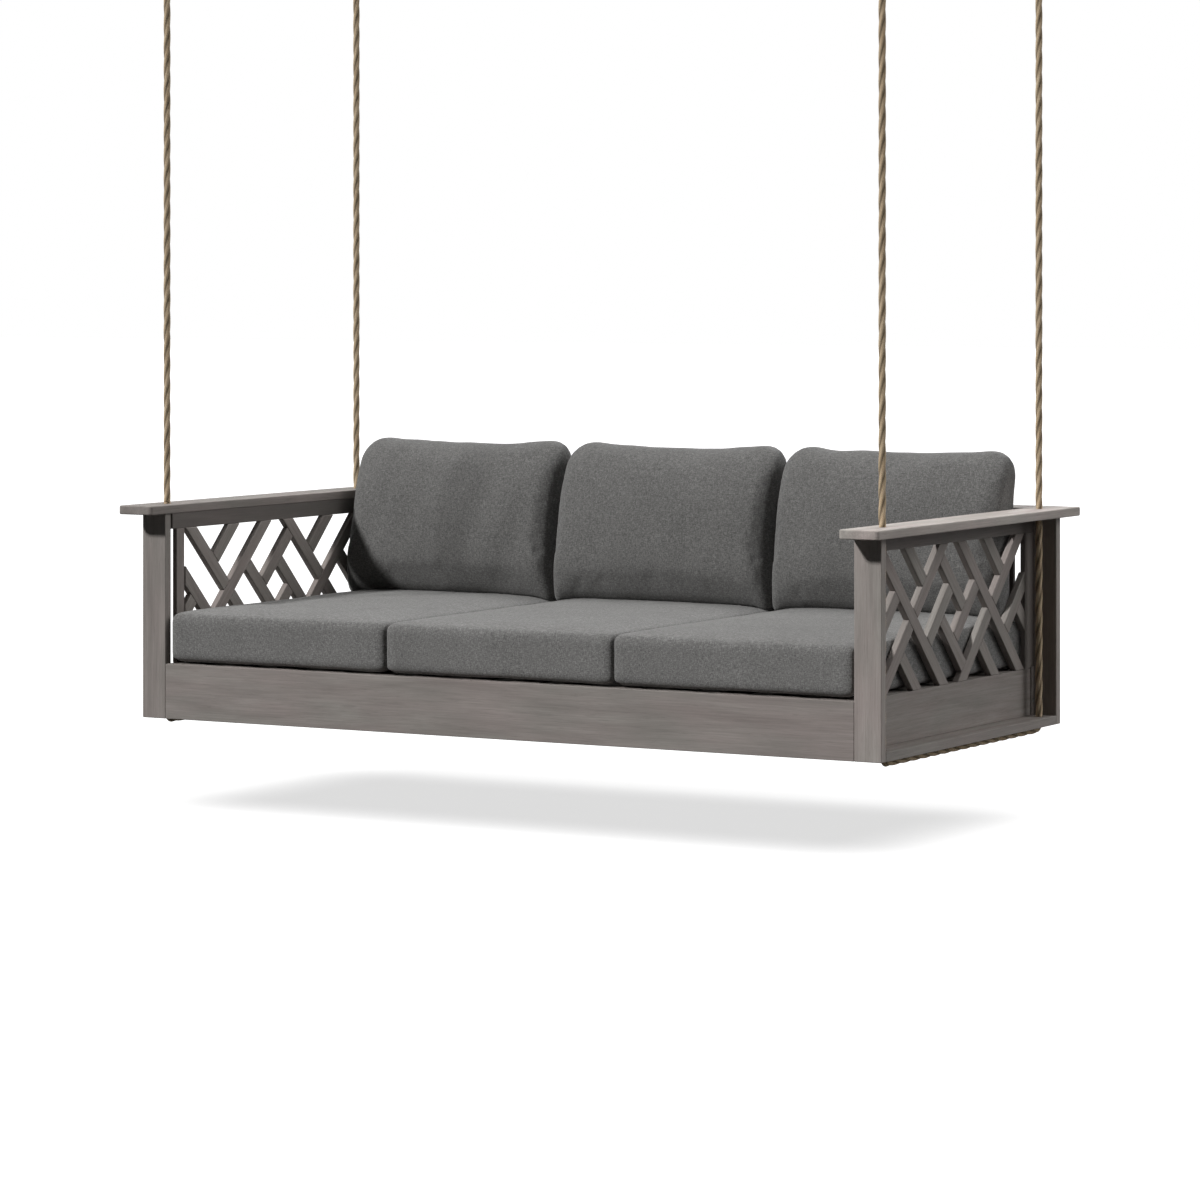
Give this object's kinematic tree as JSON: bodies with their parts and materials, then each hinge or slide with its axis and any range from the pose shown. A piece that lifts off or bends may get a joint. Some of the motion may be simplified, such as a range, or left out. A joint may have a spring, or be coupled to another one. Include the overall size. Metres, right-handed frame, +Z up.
{
  "type": "hanging swing bed",
  "caption": "Wooden hanging daybed with lattice ends and back, wide armrests, loose seat and back cushions, and rope slings up to ceiling hangers.",
  "frame": {"origin": "centre of the ceiling plane, midway between the four hangers", "axes": "+X along the bed to the right as seen from its open front, +Y from the front to the back, +Z up"},
  "size_m": [2.302, 1.246, 2.2443],
  "materials": {
    "wood": "grey-brown stained boards with fine dark grain, matt",
    "inner_wood": "the same stain on the hidden deck timbers, matt",
    "cushion_fabric": "heathered dark-grey woven cover, matt",
    "rope": "three-strand tan rope, matt",
    "steel": "galvanised steel, satin"
  },
  "bodies": {
    "bed": {"left_front_post": "wood", "right_front_post": "wood", "left_rear_post": "wood", "right_rear_post": "wood", "front_rail": "wood", "front_inner_rail": "inner_wood", "rear_rail": "wood", "left_side_rail": "wood", "right_side_rail": "wood", "left_sill": "wood", "right_sill": "wood", "corner_blocks": "inner_wood", "rear_ledger": "inner_wood", "centre_beam": "inner_wood", "deck_slats": "inner_wood", "frame_screws": "steel", "left_top_rail": "wood", "right_top_rail": "wood", "back_top_rail": "wood", "left_stiles": "wood", "right_stiles": "wood", "back_stiles": "wood", "left_lattice": "wood", "right_lattice": "wood", "back_lattice": "wood", "left_armrest": "wood", "right_armrest": "wood", "back_cap": "wood", "left_seat_cushion": "cushion_fabric", "middle_seat_cushion": "cushion_fabric", "right_seat_cushion": "cushion_fabric", "left_back_cushion": "cushion_fabric", "middle_back_cushion": "cushion_fabric", "right_back_cushion": "cushion_fabric", "left_rope_sling": "rope", "right_rope_sling": "rope"},
    "left_front_leg": {"left_front_rope": "rope", "left_front_eye": "rope", "left_front_thimble": "steel"},
    "right_front_leg": {"right_front_rope": "rope", "right_front_eye": "rope", "right_front_thimble": "steel"},
    "left_rear_leg": {"left_rear_rope": "rope", "left_rear_eye": "rope", "left_rear_thimble": "steel"},
    "right_rear_leg": {"right_rear_rope": "rope", "right_rear_eye": "rope", "right_rear_thimble": "steel"},
    "left_front_link": {"left_front_link": "steel", "left_front_link_bolt": "steel"},
    "right_front_link": {"right_front_link": "steel", "right_front_link_bolt": "steel"},
    "left_rear_link": {"left_rear_link": "steel", "left_rear_link_bolt": "steel"},
    "right_rear_link": {"right_rear_link": "steel", "right_rear_link_bolt": "steel"},
    "bend": {"rope_bend": "rope"},
    "ceiling": {"hanger_brackets": "steel", "hanger_bolts": "steel"}
  },
  "joints": [
    {"name": "left_front_swing", "type": "hinge", "parent": "ceiling", "child": "left_front_link", "pos_m": [-1.091, -0.477, -0.03], "axis": [1, 0, 0], "range_deg": [-20, 20]},
    {"name": "left_front_sway", "type": "hinge", "parent": "left_front_link", "child": "left_front_leg", "pos_m": [-1.091, -0.477, -0.08], "axis": [0, 1, 0], "range_deg": [-12, 12]},
    {"name": "right_front_swing", "type": "hinge", "parent": "ceiling", "child": "right_front_link", "pos_m": [1.091, -0.477, -0.03], "axis": [1, 0, 0], "range_deg": [-20, 20]},
    {"name": "right_front_sway", "type": "hinge", "parent": "right_front_link", "child": "right_front_leg", "pos_m": [1.091, -0.477, -0.08], "axis": [0, 1, 0], "range_deg": [-12, 12]},
    {"name": "left_rear_swing", "type": "hinge", "parent": "ceiling", "child": "left_rear_link", "pos_m": [-1.091, 0.477, -0.03], "axis": [1, 0, 0], "range_deg": [-20, 20]},
    {"name": "left_rear_sway", "type": "hinge", "parent": "left_rear_link", "child": "left_rear_leg", "pos_m": [-1.091, 0.477, -0.08], "axis": [0, 1, 0], "range_deg": [-12, 12]},
    {"name": "right_rear_swing", "type": "hinge", "parent": "ceiling", "child": "right_rear_link", "pos_m": [1.091, 0.477, -0.03], "axis": [1, 0, 0], "range_deg": [-20, 20]},
    {"name": "right_rear_sway", "type": "hinge", "parent": "right_rear_link", "child": "right_rear_leg", "pos_m": [1.091, 0.477, -0.08], "axis": [0, 1, 0], "range_deg": [-12, 12]},
    {"name": "foot_sway", "type": "hinge", "parent": "left_front_leg", "child": "bend", "pos_m": [-1.091, -0.477, -1.643], "axis": [0, 1, 0], "range_deg": [-12, 12]},
    {"name": "foot_swing", "type": "hinge", "parent": "bend", "child": "bed", "pos_m": [-1.091, -0.477, -1.643], "axis": [1, 0, 0], "range_deg": [-20, 20]}
  ],
  "couplings": [
    {"joint": "right_front_swing", "follows": "left_front_swing", "ratio": 1},
    {"joint": "right_front_sway", "follows": "left_front_sway", "ratio": 1},
    {"joint": "left_rear_swing", "follows": "left_front_swing", "ratio": 1},
    {"joint": "left_rear_sway", "follows": "left_front_sway", "ratio": 1},
    {"joint": "right_rear_swing", "follows": "left_front_swing", "ratio": 1},
    {"joint": "right_rear_sway", "follows": "left_front_sway", "ratio": 1},
    {"joint": "foot_sway", "follows": "left_front_sway", "ratio": -1},
    {"joint": "foot_swing", "follows": "left_front_swing", "ratio": -1}
  ]
}
